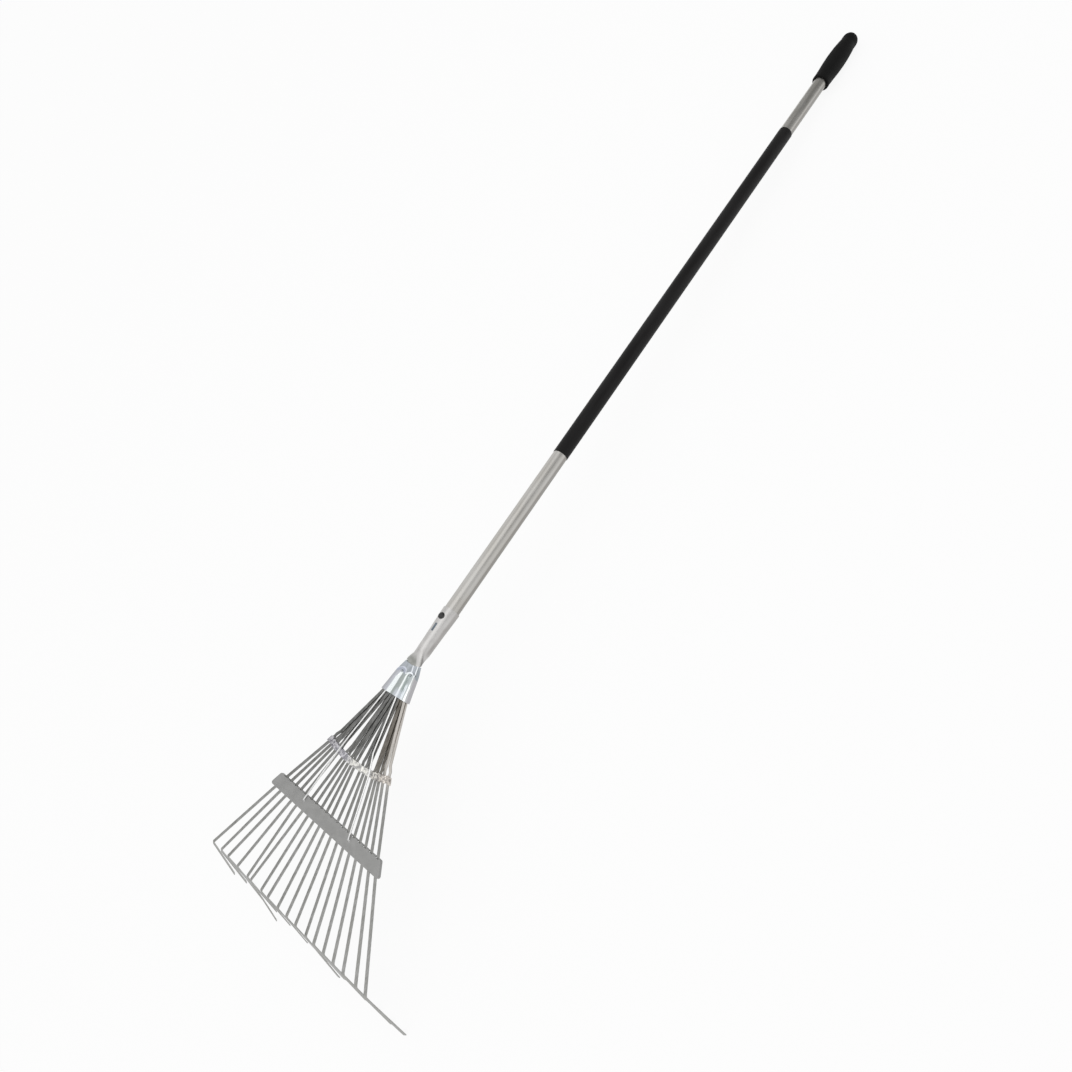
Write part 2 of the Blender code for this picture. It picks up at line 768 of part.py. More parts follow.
def clamp_rivet(side, location, pitch, collection, parent):
    """A small rivet through both plates and the tongue."""
    seat = CLAMP_FACE + CLAMP_PLATE + GAP
    front = seat + RAISED
    head = CLAMP_RIVET_HEAD
    shank = CLAMP_RIVET_SHANK
    rise = CLAMP_RIVET_RISE
    profile = (
        (0.0, front + rise),
        (0.60 * head, front + 0.85 * rise),
        (head, front + 0.25 * rise),
        (head, front),
        (shank, front),
        (shank, -seat),
        (head, -seat),
        (head, -seat - 0.40 * rise),
        (0.0, -seat - 0.60 * rise),
    )
    name = "clamp_rivet_" + side
    thing = placed(name, profile_mesh(name, profile, False), rivet_zinc(), collection, parent)
    thing.location = location
    thing.rotation_euler.x = pitch
    return turned(thing, SMALL_STEPS)


def lay_angle():
    """The slope of the ground, in the rake's own frame, under the middle tine's end and the grip."""
    tip = middle_tip()
    slopes = []
    for radius, height in grip_profile():
        slopes.append((-radius - tip.z) / (height - tip.y))
    return math.atan(min(slopes))


def middle_tip():
    pitch = math.radians(STRETCHES[-1][1] + ELBOW_BEND)
    elbow = on_head(0.0, ELBOW_LINE, 0.0)
    return elbow + MIDDLE_TIP_LENGTH * Vector((0.0, -math.cos(pitch), -math.sin(pitch)))


def height_over_ground(vector, angle):
    return vector.z * math.cos(angle) - vector.y * math.sin(angle)


def tine_line(number):
    """The places of a tine from inside the clamp to its elbow, as (x, along, lift).

    A tine that is in one layer before the head bends at the band has a place there too.
    """
    spread = spread_of(number)
    layer = TINE_LAYER if number % 2 else -TINE_LAYER
    gathered, at_band, at_bar, at_elbow = SIDEWAYS[number]
    band = band_line(spread * BAND_HALF_WIDTH)
    merged = band - MERGED_ABOVE_BAND
    rows = [
        (CLAMP_MOUTH - TINE_DEPTH_IN_CLAMP, layer, 0.0),
        (CLAMP_MOUTH, layer, 0.0),
        (band - GATHERED_ABOVE_BAND, layer, gathered),
        (band - OPENED_ABOVE_BAND, layer, at_band),
        (merged, 0.0, at_band),
        (band + MERGED_ABOVE_BAND, 0.0, at_band),
        (BAR_LINE, 0.0, at_bar),
        (ELBOW_LINE, 0.0, at_elbow),
    ]
    if merged < BAND_LINE - TINE_THICKNESS:
        rows.append((BAND_LINE, 0.0, at_band))
        rows.sort()
    return [(spread * fan_half_width(along) + shift, along, lift) for along, lift, shift in rows]


def tine_x(number, along):
    """How far across the fan the middle of a tine is, this far down it."""
    return step_value([(place, x) for x, place, _ in tine_line(number)], along)


def tine_slant(number, along):
    """How much wider than itself a tine measures straight across the fan."""
    step = 0.001
    return math.hypot(1.0, (tine_x(number, along) - tine_x(number, along - step)) / step)


def tine_rows(number):
    """The middle of a tine at each place down it, with the direction across its flat face."""
    places = tine_line(number)
    middles = [on_head(*place) for place in places]
    rows = []
    for index, (_, along, _) in enumerate(places):
        pitch = stretch_at(along)[2]
        out = Vector((0.0, -math.sin(pitch), math.cos(pitch)))
        before = middles[max(index - 1, 0)]
        after = middles[min(index + 1, len(middles) - 1)]
        rows.append((middles[index], (after - before).cross(out).normalized()))
    elbow = rows.pop()[0]
    travel = (middles[-1] - middles[-2]).normalized()
    steeper, turned_right = BENT_TIPS[number]
    heading = math.atan2(travel.x, -travel.y) + math.radians(turned_right)
    pitch = math.radians(STRETCHES[-1][1] + ELBOW_BEND + steeper)
    forward = Vector((math.sin(heading), -math.cos(heading), 0.0))
    tip_travel = math.cos(pitch) * forward - math.sin(pitch) * Vector((0.0, 0.0, 1.0))
    across = tip_travel.cross(travel).normalized()
    ground = lay_angle()
    drop = height_over_ground(middle_tip(), ground) - height_over_ground(elbow, ground)
    tip_length = drop / height_over_ground(tip_travel, ground)
    for point in rounded_corner(elbow, travel, tip_travel, ELBOW_RADIUS, 4):
        rows.append((point, across))
    rows.append((elbow + tip_length * tip_travel, across))
    return rows


def tine(number, collection, parent):
    """One flat spring tine, bent down at its elbow to a square end."""
    points = []
    for middle, across in tine_rows(number):
        points.append(middle - across * TINE_WIDTH / 2)
        points.append(middle + across * TINE_WIDTH / 2)
    faces = [(row, row + 1, row + 3, row + 2) for row in range(0, len(points) - 2, 2)]
    name = f"tine_{number:02d}"
    thing = placed(name, mesh_of(name, points, [], faces), spring_steel(), collection, parent)
    thicken = thing.modifiers.new("thicken", "SOLIDIFY")
    thicken.thickness = TINE_THICKNESS
    thicken.offset = 0.0
    soften = thing.modifiers.new("soften", "BEVEL")
    soften.width = TINE_EDGE_ROUNDING
    soften.segments = 1
    soften.limit_method = "ANGLE"
    soften.angle_limit = math.radians(60)
    return thing


def band_line(x):
    """How far down the head the middle of the band is, this far across."""
    return BAND_MIDDLE - BAND_SAG * (x / BAND_HALF_WIDTH) ** 2


def band_columns(along_offset):
    """The band's crimped line: (x, along, height), over every tine and down between them."""
    over = TINE_THICKNESS / 2 + GAP
    between_tines = GAP / 2
    line = []
    for number in range(1, TINE_COUNT + 1):
        along = band_line(spread_of(number) * BAND_HALF_WIDTH) + along_offset
        x = tine_x(number, along)
        half = TINE_WIDTH / 2 * tine_slant(number, along) + GAP
        if number > 1:
            line.append(((x - half + line[-1][0]) / 2, (along + line[-1][1]) / 2, between_tines))
        line.append((x - half, along, over))
        line.append((x + half, along, over))
    first = line[0]
    last = line[-1]
    line.insert(0, (first[0] - BAND_PLATE, first[1], between_tines))
    line.insert(0, (first[0] - BAND_PLATE - BAND_END, first[1], between_tines))
    line.append((last[0] + BAND_PLATE, last[1], between_tines))
    line.append((last[0] + BAND_PLATE + BAND_END, last[1], between_tines))
    return line


def spacer_band(side, facing, collection, parent):
    """One of the band's two crimped strips, facing 1 in front of the tines and -1 behind them."""
    points = []
    for lift_extra in (0.0, BAND_PLATE):
        for along_offset in (-BAND_WIDTH / 2, BAND_WIDTH / 2):
            for x, along, lift in band_columns(along_offset):
                points.append(on_head(x, along, facing * (lift + lift_extra)))
    width = len(points) // 4
    faces = []
    for column in range(width - 1):
        corners = [column + row * width for row in (0, 1, 3, 2)]
        for start, end in zip(corners, corners[1:] + corners[:1]):
            faces.append((start, end, end + 1, start + 1))
    for column in (0, width - 1):
        faces.append(tuple(column + row * width for row in (0, 1, 3, 2)))
    name = "spacer_band_" + side
    mesh = outward(mesh_of(name, points, [], faces))
    return placed(name, mesh, zinc_plate(), collection, parent)


def bar_half_length(along):
    return fan_half_width(along) + BAR_OVERHANG


def bar_outline(inset):
    """The cross bar's rounded outline, drawn in by this much."""
    top = BAR_TOP + inset
    bottom = BAR_BOTTOM - inset
    slope = (bar_half_length(BAR_BOTTOM) - bar_half_length(BAR_TOP)) / (BAR_BOTTOM - BAR_TOP)
    side = inset * math.hypot(1.0, slope)
    corners = [
        Vector((bar_half_length(bottom) - side, bottom, 0.0)),
        Vector((bar_half_length(top) - side, top, 0.0)),
        Vector((side - bar_half_length(top), top, 0.0)),
        Vector((side - bar_half_length(bottom), bottom, 0.0)),
    ]
    outline = []
    for index, corner in enumerate(corners):
        before = (corner - corners[index - 1]).normalized()
        after = (corners[(index + 1) % len(corners)] - corner).normalized()
        for point in rounded_corner(corner, before, after, BAR_CORNER - inset, 4):
            outline.append((point.x + BAR_SHIFT, point.y + BAR_TILT * point.x))
    return outline


def slot_box(number, first, last, low, high, room):
    """The corners of a slot that follows a tine from one place on the level bar to another."""
    tilt = BAR_TILT * spread_of(number) * BAR_HALF_WIDTH
    corners = []
    for lift in (low, high):
        for place, sides in ((first, (-1, 1)), (last, (1, -1))):
            along = place + tilt
            half = TINE_WIDTH / 2 * tine_slant(number, along) + room
            for side in sides:
                corners.append(on_head(tine_x(number, along) + side * half, along, lift))
    return corners


def slot_cutter(name, first, last, low, high, room, cutters, parent):
    """Eighteen slots as one cutter, one along each tine."""
    points = []
    faces = []
    for number in range(1, TINE_COUNT + 1):
        start = len(points)
        points.extend(slot_box(number, first, last, low, high, room))
        for face in ((0, 1, 2, 3), (4, 5, 6, 7), (0, 1, 5, 4), (1, 2, 6, 5), (2, 3, 7, 6), (3, 0, 4, 7)):
            faces.append(tuple(start + corner for corner in face))
    return cutter_object(name, outward(mesh_of(name, points, [], faces)), cutters, parent)


def hook_place(side):
    x = side * STAY_HOOK_SPREAD * fan_half_width(STAY_HOOK_ALONG)
    return x, STAY_HOOK_ALONG + BAR_TILT * x


def cross_bar(collection, cutters, parent):
    """The pressed bar: open underneath, a slot for every tine in both sides and two holes for the stays."""
    mesh = prism("cross_bar", bar_outline(0.0), -BAR_DEPTH, BAR_FACE)
    thing = placed("cross_bar", mesh, bar_grey(), collection, parent)
    soften = thing.modifiers.new("soften", "BEVEL")
    soften.width = BAR_EDGE_ROUNDING
    soften.segments = 2
    soften.limit_method = "ANGLE"
    soften.angle_limit = math.radians(60)
    inside = prism("bar_inside", bar_outline(BAR_PLATE), -2 * BAR_DEPTH, BAR_FACE - BAR_PLATE)
    cut_with(thing, cutter_object("bar_inside", inside, cutters, parent))
    pitch = math.radians(STRETCHES[2][1])
    for side, name in ((-1, "stay_hole_left"), (1, "stay_hole_right")):
        x, along = hook_place(side)
        location = on_head(x, along, BAR_FACE)
        hole = round_cutter(name, location, pitch, STAY_HOLE_RADIUS, 2 * BAR_PLATE, cutters, parent)
        cut_with(thing, hole)
    high = TINE_THICKNESS / 2 + SLOT_CLEARANCE
    top = BAR_TOP - SLOT_REACH
    bottom = BAR_BOTTOM + SLOT_REACH
    notch_end = BAR_TOP + NOTCH_LENGTH
    slots = slot_cutter("bar_slots", top, bottom, -high, high, SLOT_CLEARANCE, cutters, parent)
    notches = slot_cutter("bar_notches", top, notch_end, 0.0, 2 * BAR_FACE, NOTCH_CLEARANCE, cutters, parent)
    cut_with(thing, slots)
    cut_with(thing, notches)
    return thing


def stay_points(side):
    """A stay's middle line, from its rib in the clamp over the band to its hole in the cross bar."""
    rib = STAY_RIBS[side][0]
    low = CLAMP_FACE + STAY_RADIUS
    over_bar = BAR_FACE + GAP + STAY_RADIUS
    over_band = over_bar + 2 * GAP
    band_x = STAY_BAND_X[side]
    hook_x, hook_along = hook_place(side)
    edge_share = (BAR_TOP - BAND_MIDDLE) / (hook_along - BAND_MIDDLE)
    start = on_head(rib * clamp_half_width(STAY_START), STAY_START, low)
    mouth = on_head(rib * clamp_half_width(CLAMP_MOUTH), CLAMP_MOUTH, low)
    kink = on_head(STAY_KINK_X[side], STAY_KINK_ALONG, low)
    band = on_head(band_x, band_line(band_x), over_band)
    edge = on_head(between(band_x, hook_x, edge_share), BAR_TOP, over_bar)
    corner = on_head(hook_x, hook_along, over_bar)
    end = on_head(hook_x, hook_along, -TINE_THICKNESS)
    before = (corner - edge).normalized()
    hook = rounded_corner(corner, before, (end - corner).normalized(), STAY_BEND_RADIUS, 4)
    return [start, mouth, kink, band, edge, *hook, end]


def stay(name, side, collection, parent):
    """One bright wire stay."""
    curve = bpy.data.curves.new(name, "CURVE")
    curve.dimensions = "3D"
    curve.bevel_depth = STAY_RADIUS
    curve.bevel_resolution = 2
    curve.use_fill_caps = True
    points = stay_points(side)
    line = curve.splines.new("POLY")
    line.points.add(len(points) - 1)
    for target, point in zip(line.points, points):
        target.co = (*point, 1.0)
    return placed(name, curve, bright_wire(), collection, parent)


def lay_on_ground(parent, collection):
    """Turns the rake onto its tine ends and grip, and puts the middle of its lowest level at the origin."""
    parent.rotation_euler.x = -lay_angle()
    bpy.context.view_layer.update()
    graph = bpy.context.evaluated_depsgraph_get()
    lows = Vector((math.inf,) * 3)
    highs = Vector((-math.inf,) * 3)
    for thing in collection.objects:
        if thing.type == "EMPTY":
            continue
        shape = thing.evaluated_get(graph)
        mesh = shape.to_mesh()
        for vertex in mesh.vertices:
            point = shape.matrix_world @ vertex.co
            lows = Vector(map(min, lows, point))
            highs = Vector(map(max, highs, point))
        shape.to_mesh_clear()
    parent.location = (-(lows.x + highs.x) / 2, -(lows.y + highs.y) / 2, -lows.z)


def clear_scene():
    for thing in list(bpy.data.objects):
        bpy.data.objects.remove(thing)


def new_collection(name):
    collection = bpy.data.collections.new(name)
    bpy.context.scene.collection.children.link(collection)
    return collection


def build():
    clear_scene()
    collection = new_collection("fan_rake")
    cutters = new_collection("cutters")
    parent = bpy.data.objects.new("rake_frame", None)
    collection.objects.link(parent)
    clamp_holes = clamp_rivet_cutters(cutters, parent)
    rivet_hole = socket_rivet_hole(cutters, parent)
    tube = handle_tube(collection, parent)
    cut_with(tube, rivet_hole)
    handle_sleeve(collection, parent)
    end_grip(collection, parent)
    socket(collection, cutters, parent, [*clamp_holes, rivet_hole])
    socket_rivet(collection, cutters, parent)
    clamp_front(collection, parent, clamp_holes)
    clamp_back(collection, parent, clamp_holes)
    for side, location, pitch in clamp_rivet_places():
        clamp_rivet(side, location, pitch, collection, parent)
    for number in range(1, TINE_COUNT + 1):
        tine(number, collection, parent)
    spacer_band("front", 1, collection, parent)
    spacer_band("back", -1, collection, parent)
    cross_bar(collection, cutters, parent)
    stay("stay_left", -1, collection, parent)
    stay("stay_right", 1, collection, parent)
    lay_on_ground(parent, collection)


build()
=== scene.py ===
"""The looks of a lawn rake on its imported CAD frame: materials, studio light and the photograph's camera."""

import json
import math

import bpy
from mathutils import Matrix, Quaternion, Vector

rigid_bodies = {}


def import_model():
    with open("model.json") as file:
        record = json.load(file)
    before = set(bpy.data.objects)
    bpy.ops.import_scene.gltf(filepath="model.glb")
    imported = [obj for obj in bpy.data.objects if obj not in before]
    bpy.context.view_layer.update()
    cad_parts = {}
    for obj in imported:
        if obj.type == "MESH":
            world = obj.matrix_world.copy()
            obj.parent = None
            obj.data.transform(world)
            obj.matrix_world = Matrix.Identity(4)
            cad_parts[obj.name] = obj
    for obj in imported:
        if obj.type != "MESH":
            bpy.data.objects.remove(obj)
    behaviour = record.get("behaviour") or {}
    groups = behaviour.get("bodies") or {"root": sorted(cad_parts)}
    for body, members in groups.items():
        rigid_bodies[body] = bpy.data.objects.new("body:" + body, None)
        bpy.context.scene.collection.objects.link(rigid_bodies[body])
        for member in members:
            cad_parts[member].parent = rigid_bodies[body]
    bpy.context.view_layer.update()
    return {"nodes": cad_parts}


# Lengths are in metres, angles in degrees and the lens in millimetres.

# The rake's own frame, which lies on the ground at this slope. Its origin is on the handle's axis at the
# mouth of the socket, and +Y runs up the handle.
RAKE_SLOPE = 4.6129
RAKE_PLACE = (0.00248, -0.41932, 0.12316)

# The camera, fitted to the photograph.
CAMERA_PLACE = (0.8220, -0.5427, 1.0280)
CAMERA_TARGET = (-0.0369, -0.2294, 0.0009)
CAMERA_ROLL = 43.48
CAMERA_LENS = 27.97

# The floor, and how much of its white is shown as it is, whatever light falls on it.
FLOOR_HALF_SIZE = 30.0
FLOOR_WHITE_SHARE = 0.90

# The studio's far end is darker: where that starts and where it is full, by how far +Y a direction points.
FAR_END_START = 0.45
FAR_END_FULL = 0.85

# The studio's two round grey cards: the way to each from the rake, and the angles from its middle to where
# its edge starts to fade and to where it has gone.
RIGHT_CARD_WAY = (0.53, 0.55, 0.64)
RIGHT_CARD_EDGE = (8.0, 32.0)
LEFT_CARD_WAY = (-0.72, -0.48, 0.50)
LEFT_CARD_EDGE = (4.0, 25.0)

# Loose triangles are joined this close, and faces that meet at less than this angle are shaded smooth.
JOIN_DISTANCE = 0.000005
SMOOTH_ANGLE = 32.0

# Colours change over this middle stretch of a noise's values, unless a ramp says otherwise.
NOISE_LOW = 0.3
NOISE_HIGH = 0.7

TUBE_RADIUS = 0.012

# Places down the rake from the socket's mouth, where the metals' colours change.
GROOVE_DOWN = 0.034
TONGUE_DOWN = 0.078
CLAMP_TOP_DOWN = 0.094
CLAMP_ARCH_DOWN = 0.1035
CLAMP_MOUTH_DOWN = 0.144
BAND_DOWN = 0.250
BAR_DOWN = 0.322

# The socket's pressed groove.
GROOVE_HALF_LENGTH = 0.0055
GROOVE_HALF_WIDTH = 0.0016

# The slanting ridge on the socket's tongue, with a painted highlight along it and painted shade to its
# right: how far it goes right for each metre down, and where its line would cross the socket's mouth.
RIDGE_SLANT = 0.5
RIDGE_ACROSS = -0.036
RIDGE_HALF_WIDTH = 0.0020

# Half the clamp's width at its mouth, the share of it lost for each metre up, and how fast that loss grows.
CLAMP_HALF_WIDTH = 0.0278
CLAMP_TAPER = 8.0
CLAMP_TAPER_GROWTH = 20.0

# The clamp's painted width, in half widths from its middle, a little past its folded sides.
CLAMP_REACH = 1.1

# The clamp's two pressed arches: their height, how much lower the right one is, and how far down the
# painted shade in the hollow below the left one reaches.
CLAMP_ARCH_HEIGHT = 0.0045
RIGHT_ARCH_DROP = 0.0025
CLAMP_HOLLOW = 0.0075

# How steeply the painted highlight line on the clamp's top runs right, in half widths for each metre down.
TOP_LINE_SLANT = 16.0

# Half the fan's width at the band, and how much wider its half gets for each metre below it.
BAND_HALF_WIDTH = 0.068
FAN_TAPER = 0.434


def clear_scene():
    for thing in list(bpy.data.objects):
        bpy.data.objects.remove(thing)


def material_nodes(name):
    """A new material, its node tree and its shader."""
    material = bpy.data.materials.new(name)
    material.use_nodes = True
    tree = material.node_tree
    return material, tree, tree.nodes["Principled BSDF"]


def rake_coordinates(tree):
    """Each point's place in the rake's own frame."""
    place = tree.nodes.new("ShaderNodeTexCoord")
    level = tree.nodes.new("ShaderNodeVectorRotate")
    level.rotation_type = "X_AXIS"
    level.inputs["Center"].default_value = RAKE_PLACE
    level.inputs["Angle"].default_value = math.radians(RAKE_SLOPE)
    shift = tree.nodes.new("ShaderNodeVectorMath")
    shift.operation = "SUBTRACT"
    shift.inputs[1].default_value = RAKE_PLACE
    tree.links.new(place.outputs["Object"], level.inputs["Vector"])
    tree.links.new(level.outputs["Vector"], shift.inputs[0])
    return shift.outputs["Vector"]


def noise(tree, vector, scale, detail, roughness=0.5):
    """Noise with its own scale along each axis, in repeats per metre."""
    stretch = tree.nodes.new("ShaderNodeVectorMath")
    stretch.operation = "MULTIPLY"
    stretch.inputs[1].default_value = scale
    cloud = tree.nodes.new("ShaderNodeTexNoise")
    cloud.inputs["Scale"].default_value = 1.0
    cloud.inputs["Detail"].default_value = detail
    cloud.inputs["Roughness"].default_value = roughness
    tree.links.new(vector, stretch.inputs[0])
    tree.links.new(stretch.outputs["Vector"], cloud.inputs["Vector"])
    return cloud.outputs["Fac"]


def ramp(tree, value, stops):
    """Colours or greys by value, with smooth steps between the stops."""
    node = tree.nodes.new("ShaderNodeValToRGB")
    node.color_ramp.interpolation = "EASE"
    points = node.color_ramp.elements
    while len(points) < len(stops):
        points.new(0.5)
    for point, (position, colour) in zip(points, stops):
        point.position = position
        if isinstance(colour, float):
            colour = (colour, colour, colour)
        point.color = (*colour, 1.0)
    tree.links.new(value, node.inputs["Fac"])
    return node.outputs["Color"]


def mottled(tree, cloud, low, high):
    """One colour or grey where a noise is low and another where it is high."""
    return ramp(tree, cloud, ((NOISE_LOW, low), (NOISE_HIGH, high)))


def ramp_across(tree, spread, reach, stops):
    """Colours by how far left or right a point is, with stops from minus the reach to the reach."""
    place = product(tree, total(tree, spread, reach), 0.5 / reach)
    shares = [((stop + reach) * 0.5 / reach, colour) for stop, colour in stops]
    return ramp(tree, place, shares)


def mixed(tree, share, first, second, blend="MIX"):
    """Mixes two colours, from all of the first at a share of 0 to all of the second at 1."""
    node = tree.nodes.new("ShaderNodeMix")
    node.data_type = "RGBA"
    node.blend_type = blend
    for name, value in (("Factor", share), ("A", first), ("B", second)):
        socket = node.inputs[name]
        if isinstance(value, bpy.types.NodeSocket):
            tree.links.new(value, socket)
        elif isinstance(value, float):
            socket.default_value = value
        else:
            socket.default_value = (*value, 1.0)
    return node.outputs["Result"]


def tinted(tree, share, colour, tint):
    """Multiplies a colour by a tint, not at all at a share of 0 and fully at 1."""
    return mixed(tree, share, colour, tint, "MULTIPLY")


def calculated(tree, operation, first, second):
    """One calculation with two values, each a number or another node's output."""
    node = tree.nodes.new("ShaderNodeMath")
    node.operation = operation
    for socket, value in zip(node.inputs, (first, second)):
        if isinstance(value, bpy.types.NodeSocket):
            tree.links.new(value, socket)
        else:
            socket.default_value = value
    return node.outputs["Value"]


def total(tree, first, second):
    return calculated(tree, "ADD", first, second)


def difference(tree, first, second):
    return calculated(tree, "SUBTRACT", first, second)


def product(tree, first, second):
    return calculated(tree, "MULTIPLY", first, second)


def absolute(tree, value):
    return calculated(tree, "ABSOLUTE", value, 0.0)


def part_of(tree, vector, axis):
    """The X, Y or Z of a vector."""
    split = tree.nodes.new("ShaderNodeSeparateXYZ")
    tree.links.new(vector, split.inputs["Vector"])
    return split.outputs[axis]


def smooth_step(tree, value, start, end):
    """A smooth change from 0 to 1 as a value goes from its start to its end."""
    node = tree.nodes.new("ShaderNodeMapRange")
    node.interpolation_type = "SMOOTHSTEP"
    low, high = min(start, end), max(start, end)
    node.inputs["From Min"].default_value = low
    node.inputs["From Max"].default_value = high
    node.inputs["To Min"].default_value = 0.0 if start < end else 1.0
    node.inputs["To Max"].default_value = 1.0 if start < end else 0.0
    tree.links.new(value, node.inputs["Value"])
    return node.outputs["Result"]


def near(tree, value, middle, half_width, blur):
    """1 within a distance of a middle, falling smoothly to 0 over a blur outside it."""
    away = absolute(tree, difference(tree, value, middle))
    return smooth_step(tree, away, half_width + blur, half_width)


def distance_down(tree, vector):
    """How far down the rake a point is from the socket's mouth."""
    return product(tree, part_of(tree, vector, "Y"), -1.0)


def bump(tree, shader, height, depth, strength):
    """Raises the surface by a height from 0 to 1 times a depth in metres."""
    node = tree.nodes.new("ShaderNodeBump")
    node.inputs["Strength"].default_value = strength
    node.inputs["Distance"].default_value = depth
    tree.links.new(height, node.inputs["Height"])
    tree.links.new(node.outputs["Normal"], shader.inputs["Normal"])


def set_colour(tree, shader, colour):
    tree.links.new(colour, shader.inputs["Base Color"])


def set_roughness(tree, shader, value):
    tree.links.new(value, shader.inputs["Roughness"])


def soft_grip_material():
    """Soft black rubber with a fine moulded grain and a little dust."""
    material, tree, shader = material_nodes("look_soft_black")
    vector = rake_coordinates(tree)
    dust = noise(tree, vector, (40.0, 25.0, 40.0), detail=4.0)
    grain = noise(tree, vector, (1400.0, 1400.0, 1400.0), detail=2.0)
    stops = (
        (0.35, (0.005, 0.005, 0.005)),
        (0.75, (0.009, 0.009, 0.009)),
    )
    set_colour(tree, shader, ramp(tree, dust, stops))
    set_roughness(tree, shader, mottled(tree, dust, 0.55, 0.72))
    bump(tree, shader, grain, depth=0.00008, strength=0.6)
    shader.inputs["Specular IOR Level"].default_value = 0.10
    return material


def sleeve_material():
    """Thin black plastic with a leathery grain."""
    material, tree, shader = material_nodes("look_sleeve_black")
    vector = rake_coordinates(tree)
    cloud = noise(tree, vector, (60.0, 8.0, 60.0), detail=4.0)
    grain = noise(tree, vector, (900.0, 450.0, 900.0), detail=3.0, roughness=0.6)
    set_colour(tree, shader, mottled(tree, cloud, (0.008, 0.0075, 0.0075), (0.014, 0.0135, 0.0135)))
    set_roughness(tree, shader, mottled(tree, grain, 0.42, 0.58))
    bump(tree, shader, grain, depth=0.0001, strength=0.5)
    shader.inputs["Specular IOR Level"].default_value = 0.14
    return material


def tube_material():
    """Drawn aluminium with long fine draw lines and faint stains, and painted shade on its lower half."""
    material, tree, shader = material_nodes("look_tube_metal")
    vector = rake_coordinates(tree)
    lines = noise(tree, vector, (420.0, 1.2, 420.0), detail=3.0, roughness=0.6)
    fine = noise(tree, vector, (2200.0, 7.0, 2200.0), detail=2.0)
    stain = noise(tree, vector, (60.0, 22.0, 60.0), detail=5.0)
    colour = mottled(tree, lines, (0.46, 0.45, 0.43), (0.56, 0.55, 0.53))
    colour = tinted(tree, 1.0, colour, mottled(tree, stain, (0.90, 0.89, 0.87), (1.0, 1.0, 1.0)))
    # Painted shade: the half of the tube below its axis is darkened.
    under = smooth_step(tree, part_of(tree, vector, "Z"), 0.30 * TUBE_RADIUS, 0.0)
    set_colour(tree, shader, tinted(tree, under, colour, (0.64, 0.63, 0.62)))
    set_roughness(tree, shader, mottled(tree, stain, 0.25, 0.36))
    bump(tree, shader, fine, depth=0.00001, strength=0.2)
    shader.inputs["Metallic"].default_value = 1.0
    return material


def tongue_colour(tree, vector, down, bloom):
    """The socket's darker tongue, with a painted highlight along a slanting ridge and painted shade right of
    it.
    """
    ridge = total(tree, product(tree, down, RIDGE_SLANT), RIDGE_ACROSS)
    from_ridge = difference(tree, part_of(tree, vector, "X"), ridge)
    # Painted highlight along the ridge, then painted shade to the right of it.
    on_ridge_highlight = near(tree, from_ridge, middle=0.0, half_width=RIDGE_HALF_WIDTH, blur=0.0030)
    in_ridge_shade = smooth_step(tree, from_ridge, 0.0035, 0.0060)
    dull = mottled(tree, bloom, (0.33, 0.335, 0.315), (0.42, 0.425, 0.405))
    dull = mixed(tree, on_ridge_highlight, dull, (0.66, 0.65, 0.64))
    return mixed(tree, in_ridge_shade, dull, (0.26, 0.255, 0.25))


def in_groove(tree, vector, down):
    """1 in the groove that is pressed into the socket's front, and 0 outside it."""
    across = part_of(tree, vector, "X")
    in_width = near(tree, across, middle=0.0, half_width=GROOVE_HALF_WIDTH, blur=0.0010)
    in_length = near(tree, down, middle=GROOVE_DOWN, half_width=GROOVE_HALF_LENGTH, blur=0.0020)
    on_front = smooth_step(tree, part_of(tree, vector, "Z"), 0.0, 0.002)
    return product(tree, product(tree, in_width, in_length), on_front)


def socket_material():
    """Pressed steel with a soft galvanised bloom, darker on the flat tongue, with painted shade in its groove
    and under its neck.
    """
    material, tree, shader = material_nodes("look_socket_metal")
    vector = rake_coordinates(tree)
    down = distance_down(tree, vector)
    bloom = noise(tree, vector, (110.0, 60.0, 110.0), detail=4.0)
    scratch = noise(tree, vector, (1200.0, 40.0, 1200.0), detail=2.0)
    colour = mottled(tree, bloom, (0.49, 0.48, 0.47), (0.60, 0.59, 0.58))
    on_tongue = smooth_step(tree, down, TONGUE_DOWN, TONGUE_DOWN + 0.012)
    colour = mixed(tree, on_tongue, colour, tongue_colour(tree, vector, down, bloom))
    # Painted shade in the pressed groove.
    colour = mixed(tree, in_groove(tree, vector, down), colour, (0.16, 0.19, 0.22))
    # Painted shade on the lower side of the neck.
    on_neck = smooth_step(tree, down, TONGUE_DOWN, TONGUE_DOWN - 0.010)
    under = smooth_step(tree, part_of(tree, vector, "Z"), 0.45 * TUBE_RADIUS, 0.10 * TUBE_RADIUS)
    colour = tinted(tree, product(tree, under, on_neck), colour, (0.74, 0.73, 0.72))
    set_colour(tree, shader, mixed(tree, 0.2, colour, mottled(tree, scratch, 0.4, 0.6), "OVERLAY"))
    set_roughness(tree, shader, mottled(tree, bloom, 0.30, 0.44))
    bump(tree, shader, scratch, depth=0.00002, strength=0.2)
    shader.inputs["Metallic"].default_value = 1.0
    return material


def black_rivet_material():
    """Black oxide with a dull shine."""
    material, tree, shader = material_nodes("look_rivet_black")
    vector = rake_coordinates(tree)
    cloud = noise(tree, vector, (500.0, 500.0, 500.0), detail=3.0)
    set_colour(tree, shader, mottled(tree, cloud, (0.012, 0.012, 0.012), (0.03, 0.03, 0.03)))
    set_roughness(tree, shader, mottled(tree, cloud, 0.35, 0.5))
    bump(tree, shader, cloud, depth=0.00005, strength=0.3)
    return material


